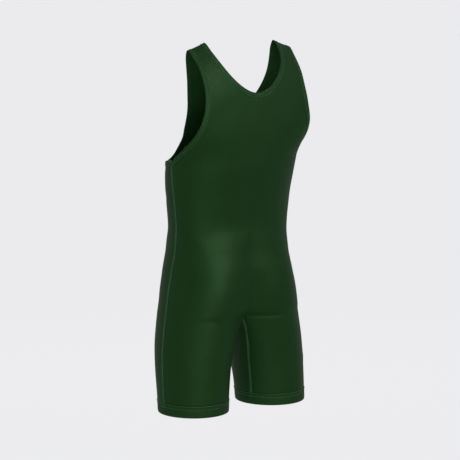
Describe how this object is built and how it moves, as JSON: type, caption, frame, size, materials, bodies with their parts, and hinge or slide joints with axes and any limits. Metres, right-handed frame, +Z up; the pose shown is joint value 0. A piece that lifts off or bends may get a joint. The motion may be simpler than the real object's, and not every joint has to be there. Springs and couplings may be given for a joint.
{
  "type": "wrestling singlet",
  "caption": "Sleeveless one-piece wrestling singlet with scooped neck, wide straps, deep armholes and mid-thigh legs, in its worn form.",
  "frame": {"origin": "midway between the two shoulder seams, level with the top of the straps, where the singlet is held on its wearer", "axes": "+Z up, the wearer faces -Y, the wearer's left side is +X"},
  "size_m": [0.4204, 0.242, 0.921],
  "materials": {
    "stretch_knit": "smooth nylon and spandex knit with a soft sheen, dark green",
    "binding_knit": "folded stretch knit, twin-needle stitched, dark green"
  },
  "bodies": {
    "root": {"front_panel": "stretch_knit", "back_panel": "stretch_knit", "neck_binding": "binding_knit", "armhole_binding_left": "binding_knit", "armhole_binding_right": "binding_knit", "leg_band_left": "binding_knit", "leg_band_right": "binding_knit"}
  },
  "joints": []
}
